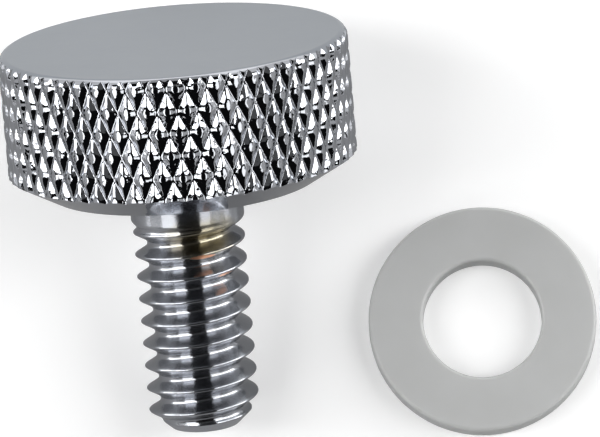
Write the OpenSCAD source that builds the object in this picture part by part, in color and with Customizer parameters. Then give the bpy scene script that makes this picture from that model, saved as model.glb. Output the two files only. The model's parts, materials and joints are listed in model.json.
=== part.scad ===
// Seat mounting knob: a plated thumbscrew with a diamond-knurled head, and the flat nylon washer
// that goes under the head. Both lie on a table as they come to rest. The knob leans on the edge
// of its head and on the end of its shank, and the washer lies flat beside the shank.

/* [Head] */
// Diameter over the points of the knurl
head_d = 19.3; // [16:0.1:26]
// Height of the knurled rim, from the edge of the bevel to the top face
rim_h = 6.8; // [4:0.1:12]
// Diameter of the flat face under the head, which bears on the washer
bearing_d = 13.3; // [8:0.1:15]
// Slope of the bevel under the head, from the bearing face
bevel_angle = 30; // [15:1:45]
// Width of the rounded edge of the top face
top_edge_w = 0.45; // [0.2:0.05:1]
// Height of the rounded edge of the top face
top_edge_h = 0.6; // [0.3:0.05:1.5]

/* [Knurl] */
// Number of teeth in one row round the head
knurl_teeth = 54; // [36:2:72]
// Angle of the knurl's grooves to the axis
knurl_angle = 24.4; // [18:0.1:35]
// Depth of the knurl's grooves
knurl_depth = 0.28; // [0.15:0.01:0.5]
// Drop of the lowest row of teeth below the edge of the bevel
knurl_drop = 0.02; // [0.02:0.01:0.2]

/* [Shank] */
// Diameter over the thread
thread_d = 6.16; // [4:0.02:8]
// Distance between two turns of the thread
thread_pitch = 1.27; // [0.9:0.01:1.8]
// Angle between the two flanks of a turn
thread_angle = 60; // [50:1:75]
// Width of the crest of a turn
thread_crest = 0.2; // [0.08:0.01:0.3]
// Width of the root between two turns
thread_root = 0.24; // [0.1:0.01:0.4]
// Distance from the bearing face to the first crest, on the left of the shank
thread_first = 0.81; // [0:0.01:1.8]
// Diameter of the plain neck between the head and the thread
neck_d = 6.28; // [4.1:0.02:8.4]
// Length of the plain neck
neck_l = 1.5; // [0.5:0.1:4]
// Length from the bearing face to the end of the shank
shank_l = 13.3; // [8:0.1:30]
// Width of the chamfer on the end of the shank
tip_w = 1.2; // [0.4:0.1:1.6]
// Height of the chamfer on the end of the shank
tip_h = 1.1; // [0.4:0.1:2]

/* [Washer] */
// Outer diameter of the washer
washer_d = 12.7; // [10:0.1:18]
// Clearance between the washer's hole and the neck, all round
washer_clearance = 0.16; // [0.1:0.01:0.45]
// Thickness of the washer
washer_t = 1.6; // [0.8:0.1:3]
// Width and height of the broken edges of the washer
washer_edge = 0.15; // [0.05:0.05:0.3]
// Clear table between the side of the shank and the washer
washer_apart = 6.4; // [4:0.1:20]
// Distance of the washer's centre from the bearing face, along the table towards the shank's end
washer_along = 7.3; // [0:0.1:20]

/* [Hidden] */
$fn = 96;

head_r = head_d / 2;
thread_r = thread_d / 2;
washer_r = washer_d / 2;
neck_r = neck_d / 2;
washer_hole_r = max(neck_r, thread_r) + washer_clearance;

// The bevel carries the head from the bearing face out to the rim.
bevel_h = (head_d - bearing_d) / 2 * tan(bevel_angle);
head_h = bevel_h + rim_h;

// The knurl is a grid of half-tooth columns and half-diamond rows. The blank that the top edge and
// the bevel are turned on stands clear of the points of the teeth.
knurl_cols = 2 * knurl_teeth;
knurl_row_h = PI * head_d / knurl_cols / tan(knurl_angle);
knurl_first_row = -ceil(bevel_h / knurl_row_h) - 1;
knurl_last_row = ceil((rim_h + knurl_drop) / knurl_row_h) + 1;
knurl_rows = knurl_last_row - knurl_first_row;
blank_clear = 0.02;
top_edge_steps = 6;
shank_root = 1;

// The thread is one ridge that climbs the shank's core to the right, from beyond its end into the head.
// The foot of the ridge is sunk a little way into the core.
ridge_steps = 36;
ridge_first = -ridge_steps * (ceil(shank_l / thread_pitch) + 1);
ridge_last = 2 * ridge_steps;
ridge_flare = tan(thread_angle / 2);
core_r = thread_r - (thread_pitch - thread_crest - thread_root) / 2 / ridge_flare;
ridge_foot_w = thread_pitch - thread_root / 2;
ridge_foot_r = core_r - thread_root / 4 / ridge_flare;

// The knob rests on two circles: the edge of the bevel, and the start of the chamfer on its tip.
rest_tilt = atan((head_r - thread_r) / (bevel_h + shank_l - tip_h));
rest_h = head_r * cos(rest_tilt) - bevel_h * sin(rest_tilt);

// Reach of the lying pieces along the table, from a point under the centre of the bearing face
washer_x = thread_r + washer_apart + washer_r;
reach_right = washer_x + washer_r;
reach_back = max([for (step = [0:top_edge_steps])
    let (edge = top_edge(step * 90 / top_edge_steps))
    edge[1] * cos(rest_tilt) + min(edge[0], head_r) * sin(rest_tilt)]);
reach_front = max(shank_l * cos(rest_tilt) + (thread_r - tip_w) * sin(rest_tilt),
                  (shank_l - tip_h) * cos(rest_tilt) + thread_r * sin(rest_tilt),
                  washer_along + washer_r);

// The origin is on the table, in the middle of what lies there.
knob_x = (head_r - reach_right) / 2;
knob_y = (reach_front - reach_back) / 2;

// Points of teeth and crossings of grooves alternate over the knurl's grid, like a chessboard.
function is_point(col, row) = (col + row) % 2 != 0;
function knurl_r(col, row) = is_point(col, row) ? head_r : head_r - knurl_depth;
function knurl_z(row) = bevel_h - knurl_drop + row * knurl_row_h;
function knurl_corner(col, row) =
    let (turn = col * 180 / knurl_teeth - 90)
    [knurl_r(col, row) * cos(turn), knurl_r(col, row) * sin(turn), knurl_z(row)];
function knurl_index(col, level) = level * knurl_cols + col % knurl_cols;

// Each cell of the grid is two triangles that meet along the groove across it.
function knurl_cell(col, level) =
    let (a = knurl_index(col, level),
         b = knurl_index(col + 1, level),
         c = knurl_index(col + 1, level + 1),
         d = knurl_index(col, level + 1))
    is_point(col, level + knurl_first_row) ? [[a, d, b], [b, d, c]] : [[a, c, b], [a, d, c]];

// A solid drum of raised four-sided teeth, longer than the head
module knurled_drum() {
    base = (knurl_rows + 1) * knurl_cols;
    corners = [for (row = [knurl_first_row:knurl_last_row], col = [0:knurl_cols - 1]) knurl_corner(col, row)];
    ends = [[0, 0, knurl_z(knurl_first_row)], [0, 0, knurl_z(knurl_last_row)]];
    sides = [for (level = [0:knurl_rows - 1], col = [0:knurl_cols - 1]) each knurl_cell(col, level)];
    floor_fan = [for (col = [0:knurl_cols - 1]) [base, knurl_index(col, 0), knurl_index(col + 1, 0)]];
    roof_fan = [for (col = [0:knurl_cols - 1])
        [base + 1, knurl_index(col + 1, knurl_rows), knurl_index(col, knurl_rows)]];
    polyhedron(concat(corners, ends), concat(sides, floor_fan, roof_fan));
}

// The rounded edge of the top face, from the rim to the flat
function top_edge(turn) =
    [head_r - top_edge_w + (top_edge_w + blank_clear) * cos(turn), head_h - top_edge_h * (1 - sin(turn))];

// The head as it is turned: bearing face, bevel, rim, rounded edge and top face
module turned_head() {
    rotate_extrude() polygon([
        [0, 0],
        [bearing_d / 2, 0],
        [head_r + blank_clear, bevel_h + blank_clear * tan(bevel_angle)],
        for (step = [0:top_edge_steps]) top_edge(step * 90 / top_edge_steps),
        [0, head_h],
    ]);
}

// The ridge's section has four corners, two at its foot and two at its crest.
function ridge_section(step) =
    let (turn = step * 360 / ridge_steps,
         middle = (step / ridge_steps - 0.5) * thread_pitch - thread_first)
    [for (corner = [[ridge_foot_r, -ridge_foot_w], [thread_r, -thread_crest],
                    [thread_r, thread_crest], [ridge_foot_r, ridge_foot_w]])
        [corner[0] * cos(turn), corner[0] * sin(turn), middle + corner[1] / 2]];
function ridge_side(section, corner) =
    let (a = 4 * section + corner,
         b = 4 * section + (corner + 1) % 4)
    [[a, b, a + 4], [a + 4, b, b + 4]];

module thread_ridge() {
    sections = ridge_last - ridge_first;
    corners = [for (step = [ridge_first:ridge_last]) each ridge_section(step)];
    sides = [for (section = [0:sections - 1], corner = [0:3]) each ridge_side(section, corner)];
    ends = [[0, 3, 2, 1], [for (corner = [0:3]) 4 * sections + corner]];
    polyhedron(corners, concat(sides, ends));
}

// The bar that the shank is turned from, clear of the crests, with the chamfer on its end
module shank_bar() {
    chamfer_rise = blank_clear * tip_h / tip_w;
    rotate_extrude() polygon([
        [0, shank_root],
        [thread_r + blank_clear, shank_root],
        [thread_r + blank_clear, tip_h - shank_l + chamfer_rise],
        [thread_r - tip_w, -shank_l],
        [0, -shank_l],
    ]);
}

// The plain neck, which falls away to the core of the thread at 45 degrees
module neck() {
    rotate_extrude() polygon([
        [0, shank_root],
        [neck_r, shank_root],
        [neck_r, -neck_l],
        [ridge_foot_r, ridge_foot_r - neck_r - neck_l],
        [0, ridge_foot_r - neck_r - neck_l],
    ]);
}

module shank() {
    neck();
    intersection() {
        shank_bar();
        union() {
            translate([0, 0, -shank_l - thread_pitch])
                cylinder(r = core_r, h = shank_l + thread_pitch + shank_root);
            thread_ridge();
        }
    }
}

// Lays the knob down from its own axis, where +Z is the top of the head and +Y turns to the table.
module laid_down() {
    translate([knob_x, knob_y, rest_h]) rotate([rest_tilt - 90, 0, 0]) children();
}

module knob() {
    color([0.74, 0.75, 0.77]) laid_down() {
        intersection() {
            turned_head();
            knurled_drum();
        }
        shank();
    }
}

module nylon_washer() {
    color([0.88, 0.88, 0.86]) translate([knob_x + washer_x, knob_y - washer_along, 0])
        rotate_extrude() polygon([
            [washer_hole_r, 0],
            [washer_r - washer_edge, 0],
            [washer_r, washer_edge],
            [washer_r, washer_t - washer_edge],
            [washer_r - washer_edge, washer_t],
            [washer_hole_r, washer_t],
        ]);
}

knob();
nylon_washer();
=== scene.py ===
# Seat mounting knob: a plated thumbscrew with a diamond-knurled head, lying on a table on the edge of its
# head and the end of its shank, with the flat nylon washer that goes under the head beside it.

import json
import math

import bmesh
import bpy
from mathutils import Matrix, Vector


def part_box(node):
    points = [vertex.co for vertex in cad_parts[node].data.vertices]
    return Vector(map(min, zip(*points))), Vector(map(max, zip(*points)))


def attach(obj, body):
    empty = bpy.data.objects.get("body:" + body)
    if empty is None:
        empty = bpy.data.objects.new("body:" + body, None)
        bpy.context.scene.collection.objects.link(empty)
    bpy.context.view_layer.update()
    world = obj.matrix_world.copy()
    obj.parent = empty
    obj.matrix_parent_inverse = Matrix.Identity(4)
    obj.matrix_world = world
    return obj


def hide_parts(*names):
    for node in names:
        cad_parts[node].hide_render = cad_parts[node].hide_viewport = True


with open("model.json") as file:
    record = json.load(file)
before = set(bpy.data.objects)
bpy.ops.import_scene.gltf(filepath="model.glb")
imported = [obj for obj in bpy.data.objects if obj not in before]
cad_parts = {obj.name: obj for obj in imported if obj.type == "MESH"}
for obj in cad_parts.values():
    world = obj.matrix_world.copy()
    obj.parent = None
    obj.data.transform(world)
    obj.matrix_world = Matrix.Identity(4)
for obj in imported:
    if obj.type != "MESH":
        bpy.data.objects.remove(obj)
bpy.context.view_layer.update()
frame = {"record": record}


# The blank of the head. The real one is a disc turned from steel bar, with a flat bearing face, a 30 degree
# bevel under the rim, a plain rim for the knurl to be rolled into, and a rounded edge to the top face.
MM = 0.001
mounts = {mount["name"]: mount for mount in frame["record"]["mounts"]}
shank_axis = Vector(mounts["thread"]["axis"])
shank_middle = Vector(mounts["thread"]["pos_m"])
on_bearing_face = Vector(mounts["bearing_face"]["pos_m"])
bearing_centre = shank_middle + shank_axis * (on_bearing_face - shank_middle).dot(shank_axis)

# The knob's own frame: millimetres from the middle of the bearing face, with +Z to the top face and -Y
# away from the table.
knob_right = Vector((1, 0, 0))
knob_place = Matrix((knob_right, (-shank_axis).cross(knob_right), -shank_axis)).transposed().to_4x4()
knob_place = Matrix.Translation(bearing_centre) @ knob_place @ Matrix.Scale(MM, 4)

# The rim of the blank stands a little clear of the knurl's points, so that the knurl alone is left of it.
knob_low, knob_high = (Vector(corner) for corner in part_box("knob"))
head_r = (knob_high.x - knob_low.x) / 2 / MM
rim_h = 6.8
bearing_r = 6.65
bearing_round = 0.2
bevel_slope = math.tan(math.radians(30))
bevel_h = (head_r - bearing_r) * bevel_slope
head_h = bevel_h + rim_h
top_edge_w, top_edge_h, top_edge_steps = 0.45, 0.6, 12
rim_clear = 0.02
edge_support = 0.02
blank_sides = 280


def rounded(corners, support=edge_support, steps=6):
    """A profile from corners (radius, height, fillet), with an arc and two support points at each fillet."""
    path = []
    for i, (r, z, fillet) in enumerate(corners):
        here = Vector((r, z))
        if not fillet:
            path.append(here)
            continue
        back = (Vector(corners[i - 1][:2]) - here).normalized()
        onward = (Vector(corners[(i + 1) % len(corners)][:2]) - here).normalized()
        half = back.angle(onward) / 2
        reach = fillet / math.tan(half)
        centre = here + (back + onward).normalized() * fillet / math.sin(half)
        start, end = here + back * reach - centre, here + onward * reach - centre
        path.append(here + back * (reach + support))
        path += [centre + start.lerp(end, step / steps).normalized() * fillet for step in range(steps + 1)]
        path.append(here + onward * (reach + support))
    return path


def turned(name, path, sides):
    """A closed mesh turned round Z from a path of (radius, height) that runs anticlockwise."""
    shape = bmesh.new()
    rings = []
    for r, z in path:
        if r == 0:
            rings.append([shape.verts.new((0, 0, z))] * sides)
            continue
        turns = [2 * math.pi * side / sides for side in range(sides)]
        rings.append([shape.verts.new((r * math.cos(turn), r * math.sin(turn), z)) for turn in turns])
    if path[0][0] > 0:
        rings.append(rings[0])
    for lower, upper in zip(rings, rings[1:]):
        for side in range(sides):
            after = (side + 1) % sides
            shape.faces.new(dict.fromkeys((lower[side], lower[after], upper[after], upper[side])))
    for face in shape.faces:
        face.smooth = True
    mesh = bpy.data.meshes.new(name)
    shape.to_mesh(mesh)
    shape.free()
    return mesh


top_edge_turns = [math.pi / 2 * step / top_edge_steps for step in range(top_edge_steps + 1)]
blank_path = rounded([
    (0, 0, 0),
    (bearing_r, 0, bearing_round),
    (head_r + rim_clear, bevel_h + rim_clear * bevel_slope, 0),
    *((head_r - top_edge_w + (top_edge_w + rim_clear) * math.cos(turn),
       head_h - top_edge_h * (1 - math.sin(turn)), 0) for turn in top_edge_turns),
    (head_r - top_edge_w - edge_support, head_h, 0),
    (0, head_h, 0),
])
knob_blank = bpy.data.objects.new("knob_blank", turned("knob_blank", blank_path, blank_sides))
bpy.context.scene.collection.objects.link(knob_blank)


# Chromed steel: bright plating over a turned and rolled surface. It mirrors the studio with hard blacks and
# whites on the head, and is duller on the shank, where the first turns have begun to tarnish and to lose
# their plating.
def linear(hex_colour):
    """A colour for a socket from an sRGB hex value."""
    parts = [int(hex_colour[i:i + 2], 16) / 255 for i in (1, 3, 5)]
    return [p / 12.92 if p <= 0.04045 else ((p + 0.055) / 1.055) ** 2.4 for p in parts] + [1]


def add_node(tree, kind, settings=(), inputs=()):
    """Adds a node with its settings, links or sets its inputs, and gives back its first output."""
    node = tree.nodes.new(kind)
    for name, value in dict(settings).items():
        setattr(node, name, value)
    for key, value in dict(inputs).items():
        if isinstance(value, bpy.types.NodeSocket):
            tree.links.new(value, node.inputs[key])
        else:
            node.inputs[key].default_value = value
    return node.outputs[0] if node.outputs else node


chromed_steel = bpy.data.materials.new("chromed_steel")
chromed_steel.use_nodes = True
chrome = chromed_steel.node_tree
chrome.nodes.clear()
at = add_node(chrome, "ShaderNodeTexCoord").node.outputs["Object"]
at = add_node(chrome, "ShaderNodeMapping", {"vector_type": "TEXTURE"}, {
    "Vector": at, "Location": bearing_centre, "Rotation": knob_place.to_euler(), "Scale": (MM, MM, MM)})

# The bath leaves a faint haze in patches of a few millimetres, and ripples under a millimetre wide. Rolled
# skin is also a little rough under the plating, with its grain drawn coarser than it is, so that it shows.
haze_size, ripple_size, wave_size, grain_size = 2.5, 0.8, 0.4, 0.16
ripple_depth, wave_depth, grain_depth = 0.004, 0.03, 0.005
noise_low, noise_high = 0.3, 0.7
clear_dullness, hazy_dullness = 0.02, 0.05
haze = add_node(chrome, "ShaderNodeTexNoise", (), {"Vector": at, "Scale": 1 / haze_size, "Detail": 5.0})
ripples = add_node(chrome, "ShaderNodeTexNoise", (), {"Vector": at, "Scale": 1 / ripple_size, "Detail": 2.0})
waves = add_node(chrome, "ShaderNodeTexNoise", (), {"Vector": at, "Scale": 1 / wave_size, "Detail": 1.0})
grain = add_node(chrome, "ShaderNodeTexNoise", (), {"Vector": at, "Scale": 1 / grain_size, "Detail": 3.0})
dullness = add_node(chrome, "ShaderNodeMapRange", (), {
    "Value": haze, "From Min": noise_low, "From Max": noise_high,
    "To Min": clear_dullness, "To Max": hazy_dullness})
plate = add_node(chrome, "ShaderNodeMix", {"data_type": "RGBA"}, {
    0: haze, 6: linear("#b9bbc0"), 7: linear("#b2b5bb")}).node.outputs[2]
rolled = add_node(chrome, "ShaderNodeAttribute", {"attribute_name": "rolled"}).node.outputs["Fac"]

# Below the bearing face the plating is duller, most of all on the neck, and the skin under it is more even.
# Fine lines of turning and rolling run round the shank, so what it mirrors is drawn out along its axis. That
# direction leans a little to the side, which keeps it from standing square on the flat faces.
dull_from, dull_by = -0.02, -0.1
neck_to, thread_from = -1.5, -2.1
neck_dullness, thread_dullness = 0.24, 0.18
shank_unevenness = 0.25
lay_strength, lay_lean = 0.95, 0.05
along_axis = add_node(chrome, "ShaderNodeSeparateXYZ", (), {0: at}).node.outputs["Z"]
on_shank = add_node(chrome, "ShaderNodeMapRange", (), {
    "Value": along_axis, "From Min": dull_from, "From Max": dull_by, "To Min": 0.0, "To Max": 1.0})
shank_dullness = add_node(chrome, "ShaderNodeMapRange", (), {
    "Value": along_axis, "From Min": neck_to, "From Max": thread_from,
    "To Min": neck_dullness, "To Max": thread_dullness})
dullness = add_node(chrome, "ShaderNodeMix", {"data_type": "FLOAT"}, {
    0: on_shank, 2: dullness, 3: shank_dullness})
across_lay = shank_axis + knob_right * lay_lean
across_lay = add_node(chrome, "ShaderNodeCombineXYZ", (), dict(zip("XYZ", across_lay)))
uneven = add_node(chrome, "ShaderNodeMath", {"operation": "MULTIPLY_ADD"}, {
    0: on_shank, 1: shank_unevenness - 1, 2: 1.0})
uneven = add_node(chrome, "ShaderNodeMath", {"operation": "MULTIPLY"}, {0: uneven, 1: rolled})
surface = add_node(chrome, "ShaderNodeBump", (), {
    "Height": ripples, "Strength": 1.0, "Distance": ripple_depth * MM})
surface = add_node(chrome, "ShaderNodeBump", (), {
    "Height": waves, "Strength": uneven, "Distance": wave_depth * MM, "Normal": surface})
surface = add_node(chrome, "ShaderNodeBump", (), {
    "Height": grain, "Strength": uneven, "Distance": grain_depth * MM, "Normal": surface})

# Marks of use on the first turns: an olive tarnish, a streak where the plating has gone from the copper under
# it, and a fainter one on the next turn. Each is a soft-edged oval with a wandering outline, given by its
# middle, half lengths, colour, roughness, softness and strength.
mark_wander = 0.8
mark_edge = 1 + mark_wander / 2
wear_marks = (
    ((0.9, -2.75, -2.2), (1.9, 2.2, 1.1), "#a49a7c", 0.2, 0.8, 0.8),
    ((0.74, -2.75, -3.15), (0.66, 0.9, 0.16), "#f2b490", 0.4, 0.3, 1.0),
    ((1.83, -2.1, -4.36), (0.52, 0.8, 0.15), "#e6ac88", 0.4, 0.5, 0.85),
)
for middle, halves, tint, tint_dullness, softness, strength in wear_marks:
    mark = add_node(chrome, "ShaderNodeVectorMath", {"operation": "SUBTRACT"}, {0: at, 1: middle})
    mark = add_node(chrome, "ShaderNodeVectorMath", {"operation": "DIVIDE"}, {0: mark, 1: halves})
    mark = add_node(chrome, "ShaderNodeVectorMath", {"operation": "LENGTH"}, {0: mark}).node.outputs["Value"]
    mark = add_node(chrome, "ShaderNodeMath", {"operation": "MULTIPLY_ADD"}, {
        0: ripples, 1: mark_wander, 2: mark})
    mark = add_node(chrome, "ShaderNodeMapRange", (), {
        "Value": mark, "From Min": mark_edge + softness / 2, "From Max": mark_edge - softness / 2,
        "To Min": 0.0, "To Max": strength})
    plate = add_node(chrome, "ShaderNodeMix", {"data_type": "RGBA"}, {
        0: mark, 6: plate, 7: linear(tint)}).node.outputs[2]
    dullness = add_node(chrome, "ShaderNodeMix", {"data_type": "FLOAT"}, {
        0: mark, 2: dullness, 3: tint_dullness})

chrome_skin = add_node(chrome, "ShaderNodeBsdfPrincipled", (), {
    "Base Color": plate, "Metallic": 1.0, "Roughness": dullness, "Specular Tint": linear("#f6f6f6"),
    "Normal": surface, "Anisotropic": lay_strength, "Tangent": across_lay})
add_node(chrome, "ShaderNodeOutputMaterial", (), {"Surface": chrome_skin})


# The diamond knurl. The real one is rolled into the steel rim by two wheels with crossed teeth, which leaves
# rows of raised four-sided teeth with small flats. The rounded edge cuts it off above, and it runs out into
# the bevel below.
knurl_teeth = 54
knurl_angle = math.radians(24.4)
knurl_row_h = math.pi * head_r / knurl_teeth / math.tan(knurl_angle)
knurl_cuts = 16
knurl_rows_below, knurl_rows_above = 1, 7
knurl_drop = 0.02
knurl_lowest = bevel_h - knurl_drop
front_groove_deg = 0.4
knurl_sizes = {
    "Teeth": knurl_teeth,
    "Point radius": head_r,
    "Depth": 0.21,
    "Row height": knurl_row_h,
    "Lowest row": knurl_lowest,
    "First groove": 0.25 - front_groove_deg / 360,
    "Ridge": 0.45,
    "Flank": 0.62,
    "Edge": 0.12,
}

knurl = bpy.data.node_groups.new("rolled_knurl", "GeometryNodeTree")
knurl.interface.new_socket("Blank", in_out="INPUT", socket_type="NodeSocketGeometry")
knurl.interface.new_socket("Knurled head", in_out="OUTPUT", socket_type="NodeSocketGeometry")
for name in knurl_sizes:
    knurl.interface.new_socket(name, in_out="INPUT", socket_type="NodeSocketFloat")
given = add_node(knurl, "NodeGroupInput").node.outputs

drum_depth = (knurl_rows_below + knurl_rows_above) * knurl_row_h
drum_middle = knurl_lowest + (knurl_rows_above - knurl_rows_below) / 2 * knurl_row_h
drum = add_node(knurl, "GeometryNodeMeshCylinder", (), {
    "Vertices": knurl_teeth * knurl_cuts,
    "Side Segments": (knurl_rows_below + knurl_rows_above) * knurl_cuts // 2,
    "Radius": 1.0,
    "Depth": drum_depth})
drum = add_node(knurl, "GeometryNodeTransform", (), {"Geometry": drum, "Translation": (0, 0, drum_middle)})

# Counted in teeth round the drum and in diamonds along it, the two wheels' grooves are where the sum and
# the difference of the counts are whole numbers.
place = add_node(knurl, "GeometryNodeInputPosition")
place = add_node(knurl, "ShaderNodeSeparateXYZ", (), {0: place}).node.outputs
turn = add_node(knurl, "ShaderNodeMath", {"operation": "ARCTAN2"}, {0: place["Y"], 1: place["X"]})
turn = add_node(knurl, "ShaderNodeMath", {"operation": "DIVIDE"}, {0: turn, 1: 2 * math.pi})
turn = add_node(knurl, "ShaderNodeMath", {"operation": "ADD"}, {0: turn, 1: given["First groove"]})
round_count = add_node(knurl, "ShaderNodeMath", {"operation": "MULTIPLY"}, {0: turn, 1: given["Teeth"]})
rise = add_node(knurl, "ShaderNodeMath", {"operation": "SUBTRACT"}, {0: place["Z"], 1: given["Lowest row"]})
rise = add_node(knurl, "ShaderNodeMath", {"operation": "DIVIDE"}, {0: rise, 1: given["Row height"]})
along_count = add_node(knurl, "ShaderNodeMath", {"operation": "MULTIPLY"}, {0: rise, 1: 0.5})
slopes = []
for wheel in ("ADD", "SUBTRACT"):
    count = add_node(knurl, "ShaderNodeMath", {"operation": wheel}, {0: round_count, 1: along_count})
    from_groove = add_node(knurl, "ShaderNodeMath", {"operation": "PINGPONG"}, {0: count, 1: 0.5})
    slopes.append(add_node(knurl, "ShaderNodeMath", {"operation": "MULTIPLY"}, {0: from_groove, 1: 2.0}))
height = add_node(knurl, "ShaderNodeMath", {"operation": "SMOOTH_MIN"}, {
    0: slopes[0], 1: slopes[1], 2: given["Ridge"]})
flank = add_node(knurl, "ShaderNodeMath", {"operation": "DIVIDE"}, {0: height, 1: given["Flank"]})
tooth = add_node(knurl, "ShaderNodeMath", {"operation": "SMOOTH_MIN"}, {0: flank, 1: 1.0, 2: given["Edge"]})
fall = add_node(knurl, "ShaderNodeMath", {"operation": "SUBTRACT"}, {0: 1.0, 1: tooth})
fall = add_node(knurl, "ShaderNodeMath", {"operation": "MULTIPLY"}, {0: fall, 1: given["Depth"]})
reach = add_node(knurl, "ShaderNodeMath", {"operation": "SUBTRACT"}, {0: given["Point radius"], 1: fall})
reach = add_node(knurl, "ShaderNodeCombineXYZ", (), {"X": reach, "Y": reach, "Z": 1.0})
reach = add_node(knurl, "ShaderNodeVectorMath", {"operation": "MULTIPLY"}, {
    0: add_node(knurl, "GeometryNodeInputPosition"), 1: reach})
drum = add_node(knurl, "GeometryNodeSetPosition", (), {"Geometry": drum, "Position": reach})
drum = add_node(knurl, "GeometryNodeTriangulate", {"quad_method": "SHORTEST_DIAGONAL"}, {"Mesh": drum})
drum = add_node(knurl, "GeometryNodeStoreNamedAttribute", {"data_type": "FLOAT", "domain": "FACE"}, {
    "Geometry": drum, "Name": "rolled", "Value": 1.0})
head = add_node(knurl, "GeometryNodeMeshBoolean", {"operation": "INTERSECT", "solver": "MANIFOLD"}, {
    "Mesh 2": given["Blank"]})
knurl.links.new(drum, head.node.inputs["Mesh 2"])

# Where the rolled skin meets the turned faces, the edge stays sharp.
head = add_node(knurl, "GeometryNodeSetShadeSmooth", {"domain": "FACE"}, {
    "Geometry": head, "Shade Smooth": True})
rolled = add_node(knurl, "GeometryNodeInputNamedAttribute", {"data_type": "FLOAT"}, {"Name": "rolled"})
mixed = add_node(knurl, "ShaderNodeMath", {"operation": "COMPARE"}, {0: rolled, 1: 0.5, 2: 0.25})
head = add_node(knurl, "GeometryNodeSetShadeSmooth", {"domain": "EDGE"}, {
    "Geometry": head, "Selection": mixed, "Shade Smooth": False})
head = add_node(knurl, "GeometryNodeRealizeInstances", (), {"Geometry": head})
head = add_node(knurl, "GeometryNodeSetMaterial", (), {"Geometry": head, "Material": chromed_steel})
add_node(knurl, "NodeGroupOutput", (), {"Knurled head": head})


# The threaded shank. The real one is turned with the head from the same bar, with a chamfered end and a
# 1.27 mm right-hand thread. The thread is rolled, so its crests and roots are round, and it runs out into a
# plain neck under the bearing face.
thread_r = mounts["thread"]["dims"]["r_mm"]
shank_l = 13.3
neck_r = mounts["neck"]["dims"]["r_mm"]
shank_root = 0.8
thread_pitch = 1.27
thread_sides, thread_cuts = 96, 24
first_crest = -3.35
end_w, end_h = 1.2, 1.1
crest_half_w, root_half_w = 0.05, 0.16
thread_sizes = {
    "Crest radius": thread_r,
    "Depth": 0.72,
    "Pitch": thread_pitch,
    "Crest": crest_half_w / thread_pitch,
    "Root": 0.5 - root_half_w / thread_pitch,
    "Crest rounding": 0.1,
    "Root rounding": 0.3,
    "Start": first_crest / thread_pitch - 0.5,
    "End radius": thread_r - end_w,
    "End slope": end_w / end_h,
    "End rounding": 0.15,
    "Neck radius": neck_r,
    "Run-out start": -1.3,
    "Run-out end": -2.2,
    "Neck flare": 0.06,
}

thread = bpy.data.node_groups.new("rolled_thread", "GeometryNodeTree")
thread.interface.new_socket("Head", in_out="INPUT", socket_type="NodeSocketGeometry")
thread.interface.new_socket("Knob", in_out="OUTPUT", socket_type="NodeSocketGeometry")
for name in thread_sizes:
    thread.interface.new_socket(name, in_out="INPUT", socket_type="NodeSocketFloat")
given = add_node(thread, "NodeGroupInput").node.outputs

shank = add_node(thread, "GeometryNodeMeshCylinder", (), {
    "Vertices": thread_sides,
    "Side Segments": round((shank_l + shank_root) / thread_pitch * thread_cuts),
    "Radius": 1.0,
    "Depth": shank_l + shank_root})
threaded = add_node(thread, "FunctionNodeBooleanMath", {"operation": "NOT"}, {
    0: shank.node.outputs["Bottom"]})
shank = add_node(thread, "GeometryNodeStoreNamedAttribute", {"data_type": "FLOAT", "domain": "FACE"}, {
    "Geometry": shank, "Selection": threaded, "Name": "rolled", "Value": 1.0})
shank = add_node(thread, "GeometryNodeTransform", (), {
    "Geometry": shank, "Translation": (0, 0, (shank_root - shank_l) / 2)})
place = add_node(thread, "GeometryNodeInputPosition")
place = add_node(thread, "ShaderNodeSeparateXYZ", (), {0: place}).node.outputs
turn = add_node(thread, "ShaderNodeMath", {"operation": "ARCTAN2"}, {0: place["Y"], 1: place["X"]})
turn = add_node(thread, "ShaderNodeMath", {"operation": "DIVIDE"}, {0: turn, 1: 2 * math.pi})
turns = add_node(thread, "ShaderNodeMath", {"operation": "DIVIDE"}, {0: place["Z"], 1: given["Pitch"]})
turns = add_node(thread, "ShaderNodeMath", {"operation": "SUBTRACT"}, {0: turns, 1: turn})
turns = add_node(thread, "ShaderNodeMath", {"operation": "SUBTRACT"}, {0: turns, 1: given["Start"]})
from_crest = add_node(thread, "ShaderNodeMath", {"operation": "PINGPONG"}, {0: turns, 1: 0.5})
fall = add_node(thread, "ShaderNodeMapRange", {"clamp": False}, {
    "Value": from_crest, "From Min": given["Crest"], "From Max": given["Root"],
    "To Min": 0.0, "To Max": given["Depth"]})
fall = add_node(thread, "ShaderNodeMath", {"operation": "SMOOTH_MAX"}, {
    0: fall, 1: 0.0, 2: given["Crest rounding"]})
fall = add_node(thread, "ShaderNodeMath", {"operation": "SMOOTH_MIN"}, {
    0: fall, 1: given["Depth"], 2: given["Root rounding"]})
crest = add_node(thread, "ShaderNodeMath", {"operation": "SUBTRACT"}, {0: given["Crest radius"], 1: fall})

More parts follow.
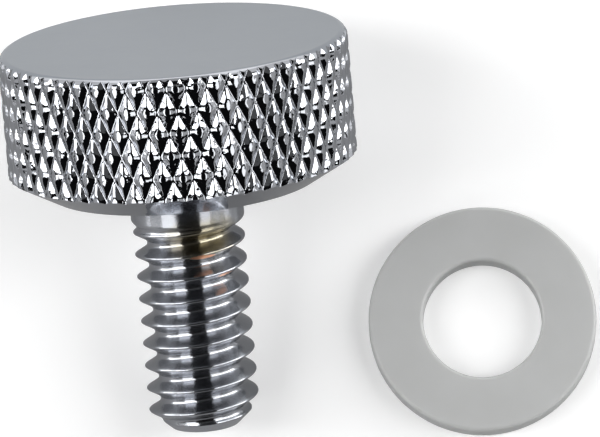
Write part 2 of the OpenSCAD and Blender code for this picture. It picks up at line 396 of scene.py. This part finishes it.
# Up to the bearing face the thread gives way to the neck, which is a little narrower at its top.
run_out = add_node(thread, "ShaderNodeMapRange", {"interpolation_type": "SMOOTHSTEP"}, {
    "Value": place["Z"], "From Min": given["Run-out start"], "From Max": given["Run-out end"],
    "To Min": 0.0, "To Max": 1.0})
flare = add_node(thread, "ShaderNodeMath", {"operation": "SUBTRACT"}, {
    0: place["Z"], 1: given["Run-out start"]})
flare = add_node(thread, "ShaderNodeMath", {"operation": "MAXIMUM"}, {0: flare, 1: 0.0})
flare = add_node(thread, "ShaderNodeMath", {"operation": "MULTIPLY"}, {0: flare, 1: given["Neck flare"]})
neck = add_node(thread, "ShaderNodeMath", {"operation": "SUBTRACT"}, {0: given["Neck radius"], 1: flare})
crest = add_node(thread, "ShaderNodeMix", {"data_type": "FLOAT"}, {0: run_out, 2: neck, 3: crest})
from_end = add_node(thread, "ShaderNodeMath", {"operation": "ADD"}, {0: place["Z"], 1: shank_l})
chamfer = add_node(thread, "ShaderNodeMath", {"operation": "MULTIPLY_ADD"}, {
    0: from_end, 1: given["End slope"], 2: given["End radius"]})
reach = add_node(thread, "ShaderNodeMath", {"operation": "SMOOTH_MIN"}, {
    0: crest, 1: chamfer, 2: given["End rounding"]})
reach = add_node(thread, "ShaderNodeCombineXYZ", (), {"X": reach, "Y": reach, "Z": 1.0})
reach = add_node(thread, "ShaderNodeVectorMath", {"operation": "MULTIPLY"}, {
    0: add_node(thread, "GeometryNodeInputPosition"), 1: reach})
shank = add_node(thread, "GeometryNodeSetPosition", (), {"Geometry": shank, "Position": reach})
shank = add_node(thread, "GeometryNodeTriangulate", {"quad_method": "SHORTEST_DIAGONAL"}, {"Mesh": shank})
knob_shape = add_node(thread, "GeometryNodeMeshBoolean", {"operation": "UNION", "solver": "MANIFOLD"}, {
    "Mesh 2": given["Head"]})
thread.links.new(shank, knob_shape.node.inputs["Mesh 2"])
knob_shape = add_node(thread, "GeometryNodeSetShadeSmooth", {"domain": "FACE"}, {
    "Geometry": knob_shape, "Shade Smooth": True})
rolled = add_node(thread, "GeometryNodeInputNamedAttribute", {"data_type": "FLOAT"}, {"Name": "rolled"})
mixed = add_node(thread, "ShaderNodeMath", {"operation": "COMPARE"}, {0: rolled, 1: 0.5, 2: 0.25})
knob_shape = add_node(thread, "GeometryNodeSetShadeSmooth", {"domain": "EDGE"}, {
    "Geometry": knob_shape, "Selection": mixed, "Shade Smooth": False})
knob_shape = add_node(thread, "GeometryNodeRealizeInstances", (), {"Geometry": knob_shape})
knob_shape = add_node(thread, "GeometryNodeSetMaterial", (), {
    "Geometry": knob_shape, "Material": chromed_steel})
add_node(thread, "NodeGroupOutput", (), {"Knob": knob_shape})

for tree, sizes in ((knurl, knurl_sizes), (thread, thread_sizes)):
    rolling = knob_blank.modifiers.new(tree.name, "NODES")
    rolling.node_group = tree
    for socket in tree.interface.items_tree:
        if socket.name in sizes:
            rolling[socket.identifier] = float(sizes[socket.name])

depsgraph = bpy.context.evaluated_depsgraph_get()
knob_mesh = bpy.data.meshes.new_from_object(knob_blank.evaluated_get(depsgraph), depsgraph=depsgraph)
knob_mesh.name = "knob_plated"
knob_mesh.transform(knob_place)
knob_blank.modifiers.clear()
bpy.data.objects.remove(knob_blank)

knob = bpy.data.objects.new("knob_plated", knob_mesh)
bpy.context.scene.collection.objects.link(knob)
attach(knob, "root")
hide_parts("knob")


# The washer. The real one is punched or moulded from natural nylon, a flat ring that goes on the shank under
# the head and spares the seat; here it lies flat on the table.
washer_centre = Vector(mounts["washer_bore"]["pos_m"])
washer_hole_r = mounts["washer_bore"]["dims"]["r_mm"]
washer_t = mounts["washer_bore"]["dims"]["length_mm"]
washer_low, washer_high = (Vector(corner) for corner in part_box("nylon_washer"))
washer_r = (washer_high.x - washer_low.x) / 2 / MM
washer_path = rounded([
    (washer_hole_r, 0, 0.1),
    (washer_r, 0, 0.15),
    (washer_r, washer_t, 0.2),
    (washer_hole_r, washer_t, 0.2),
])

# Natural nylon: milky grey and satin, faintly clouded, and soft at the edges where light gets into it. Its
# pores are drawn coarser than they are, so that they show.
cloud_size, pore_size, pore_depth = 3.0, 0.12, 0.004
smooth_satin, rough_satin = 0.34, 0.46
nylon = bpy.data.materials.new("natural_nylon")
nylon.use_nodes = True
nylon_tree = nylon.node_tree
nylon_tree.nodes.clear()
at = add_node(nylon_tree, "ShaderNodeTexCoord").node.outputs["Object"]
cloud = add_node(nylon_tree, "ShaderNodeTexNoise", (), {
    "Vector": at, "Scale": 1 / (cloud_size * MM), "Detail": 4.0})
pores = add_node(nylon_tree, "ShaderNodeTexNoise", (), {
    "Vector": at, "Scale": 1 / (pore_size * MM), "Detail": 3.0})
body = add_node(nylon_tree, "ShaderNodeMix", {"data_type": "RGBA"}, {
    0: cloud, 6: linear("#b4b5b4"), 7: linear("#bebfbf")}).node.outputs[2]
satin = add_node(nylon_tree, "ShaderNodeMapRange", (), {
    "Value": cloud, "From Min": noise_low, "From Max": noise_high,
    "To Min": smooth_satin, "To Max": rough_satin})
skin = add_node(nylon_tree, "ShaderNodeBump", (), {
    "Height": pores, "Strength": 0.6, "Distance": pore_depth * MM})
nylon_skin = add_node(nylon_tree, "ShaderNodeBsdfPrincipled", (), {
    "Base Color": body, "Roughness": satin, "IOR": 1.53, "Normal": skin,
    "Subsurface Weight": 0.4, "Subsurface Radius": (1.0, 1.0, 0.95), "Subsurface Scale": 0.8 * MM})
add_node(nylon_tree, "ShaderNodeOutputMaterial", (), {"Surface": nylon_skin})

washer_sides = 192
washer_mesh = turned("washer_nylon", washer_path, washer_sides)
washer_place = Matrix.Translation((washer_centre.x, washer_centre.y, washer_low.z)) @ Matrix.Scale(MM, 4)
washer_mesh.transform(washer_place)
washer_mesh.materials.append(nylon)
washer = bpy.data.objects.new("washer_nylon", washer_mesh)
bpy.context.scene.collection.objects.link(washer)
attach(washer, "root")
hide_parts("nylon_washer")


# The studio floor: a wide sheet of matt white card under the pieces, which carries their soft shadow. To the
# camera and in reflections it is a little brighter than its light makes it, so that it comes out white.
floor_lift = 0.2
card_roughness = 0.9
white_card = bpy.data.materials.new("white_card")
white_card.use_nodes = True
card_tree = white_card.node_tree
card_skin = card_tree.nodes["Principled BSDF"].inputs
card_skin["Base Color"].default_value = linear("#f4f4f4")
card_skin["Roughness"].default_value = card_roughness
card_skin["Specular IOR Level"].default_value = 0.0
card_skin["Emission Color"].default_value = linear("#ffffff")
ray = add_node(card_tree, "ShaderNodeLightPath").node.outputs
seen = add_node(card_tree, "ShaderNodeMath", {"operation": "ADD"}, {
    0: ray["Is Camera Ray"], 1: ray["Is Glossy Ray"]})
seen = add_node(card_tree, "ShaderNodeMath", {"operation": "ADD"}, {0: seen, 1: ray["Is Transmission Ray"]})
lift = add_node(card_tree, "ShaderNodeMath", {"operation": "MULTIPLY"}, {0: seen, 1: floor_lift})
card_tree.links.new(lift, card_skin["Emission Strength"])
floor_half = 3.0
floor_mesh = bpy.data.meshes.new("floor")
floor_mesh.from_pydata([(-floor_half, -floor_half, 0), (floor_half, -floor_half, 0),
                        (floor_half, floor_half, 0), (-floor_half, floor_half, 0)], [], [(0, 1, 2, 3)])
floor_mesh.materials.append(white_card)
studio_floor = bpy.data.objects.new("floor", floor_mesh)
bpy.context.scene.collection.objects.link(studio_floor)


# The studio light: soft boxes in an arch round the front of the knob, open in the middle, with smaller ones
# below them and dim ones at the sides, behind and over the head, in a dark room. Two grey cards lie on the
# floor and are seen only in what the plating mirrors.
world = bpy.data.worlds.new("room")
bpy.context.scene.world = world
world.use_nodes = True
world.node_tree.nodes["Background"].inputs["Color"].default_value = (0.006, 0.006, 0.0065, 1)

# Each box faces the middle of the bearing face, and has its azimuth, elevation, width and height in degrees
# round it, in the knob's own frame, and its radiance.
light_distance = 1.2
light_boxes = (
    ("arch_left", -74.0, 17.5, 41.0, 21.0, 5.1),
    ("arch_front_left", -38.0, 17.5, 31.0, 21.0, 5.1),
    ("arch_front_right", 46.5, 17.5, 41.0, 21.0, 5.1),
    ("arch_right", 84.0, 17.5, 32.0, 21.0, 5.1),
    ("front", 2.0, 17.5, 46.0, 21.0, 0.12),
    ("front_left", -39.0, -12.5, 28.0, 17.0, 3.0),
    ("front_right", 36.5, -12.5, 23.0, 17.0, 2.0),
    ("low_left", -64.0, -12.5, 26.0, 17.0, 0.6),
    ("low_right", 63.0, -12.5, 30.0, 17.0, 0.6),
    ("side_left", -125.0, 28.0, 100.0, 100.0, 0.9),
    ("side_right", 125.0, 28.0, 100.0, 100.0, 0.9),
    ("back", 180.0, 68.0, 50.0, 40.0, 0.16),
    ("top", 0.0, 90.0, 50.0, 50.0, 0.5),
)
knob_turn = knob_place.to_quaternion()
for name, azimuth, elevation, wide, high, radiance in light_boxes:
    box = bpy.data.lights.new(name, "AREA")
    box.shape = "RECTANGLE"
    box.size, box.size_y = (2 * light_distance * math.tan(math.radians(angle / 2)) for angle in (wide, high))
    box.energy = radiance * math.pi * box.size * box.size_y
    softbox = bpy.data.objects.new(name, box)
    bpy.context.scene.collection.objects.link(softbox)
    az, el = math.radians(azimuth), math.radians(elevation)
    towards = Vector((math.sin(az) * math.cos(el), -math.cos(az) * math.cos(el), math.sin(el)))
    along = Vector((math.cos(az), math.sin(az), 0))
    facing = Matrix((along, towards.cross(along), towards)).transposed()
    softbox.matrix_world = (Matrix.Translation(bearing_centre)
                            @ (knob_turn.to_matrix() @ facing).to_4x4()
                            @ Matrix.Translation((0, 0, light_distance)))
    softbox.visible_camera = False

# Each card has its grey and where its left, right, front and back edges lie, in millimetres.
card_rise = 0.03
floor_cards = (
    ("card_round", "#aaaaaa", -300, 300, -300, 13),
    ("card_back", "#c6c9cb", -60, 60, 13, 80),
)
for name, grey, left, right, front, back in floor_cards:
    card_mesh = bpy.data.meshes.new(name)
    card_mesh.from_pydata([(x * MM, y * MM, card_rise * MM) for x, y in (
        (left, front), (right, front), (right, back), (left, back))], [], [(0, 1, 2, 3)])
    card_paint = bpy.data.materials.new(name)
    card_paint.use_nodes = True
    card_skin = card_paint.node_tree.nodes["Principled BSDF"].inputs
    card_skin["Base Color"].default_value = linear(grey)
    card_skin["Roughness"].default_value = card_roughness
    card_skin["Specular IOR Level"].default_value = 0.0
    card_mesh.materials.append(card_paint)
    card = bpy.data.objects.new(name, card_mesh)
    bpy.context.scene.collection.objects.link(card)
    card.visible_camera = card.visible_diffuse = card.visible_shadow = False


# The camera: it looks steeply down on the knob from in front, turned a little on its own axis, and stands far
# enough off for nothing to taper.
view_elevation = math.radians(78.21)
view_roll = math.radians(4.85)
view_width = 32.97 * MM
view_across, view_down = 6.171 * MM, 10.35 * MM
view_distance = 0.5
film_width = 36
top_centre = knob_place @ Vector((0, 0, head_h))
to_camera = Vector((0, -math.cos(view_elevation), math.sin(view_elevation)))
level_right = Vector((1, 0, 0))
level_up = to_camera.cross(level_right)
view_centre = top_centre + level_right * view_across - level_up * view_down
camera_right = level_right * math.cos(view_roll) - level_up * math.sin(view_roll)
camera_up = to_camera.cross(camera_right)
lens = bpy.data.cameras.new("camera")
lens.sensor_width = film_width
lens.lens = film_width * view_distance / view_width
camera = bpy.data.objects.new("camera", lens)
bpy.context.scene.collection.objects.link(camera)
camera.matrix_world = (Matrix.Translation(view_centre + to_camera * view_distance)
                       @ Matrix((camera_right, camera_up, to_camera)).transposed().to_4x4())
bpy.context.scene.camera = camera
bpy.context.scene.view_settings.view_transform = "Standard"
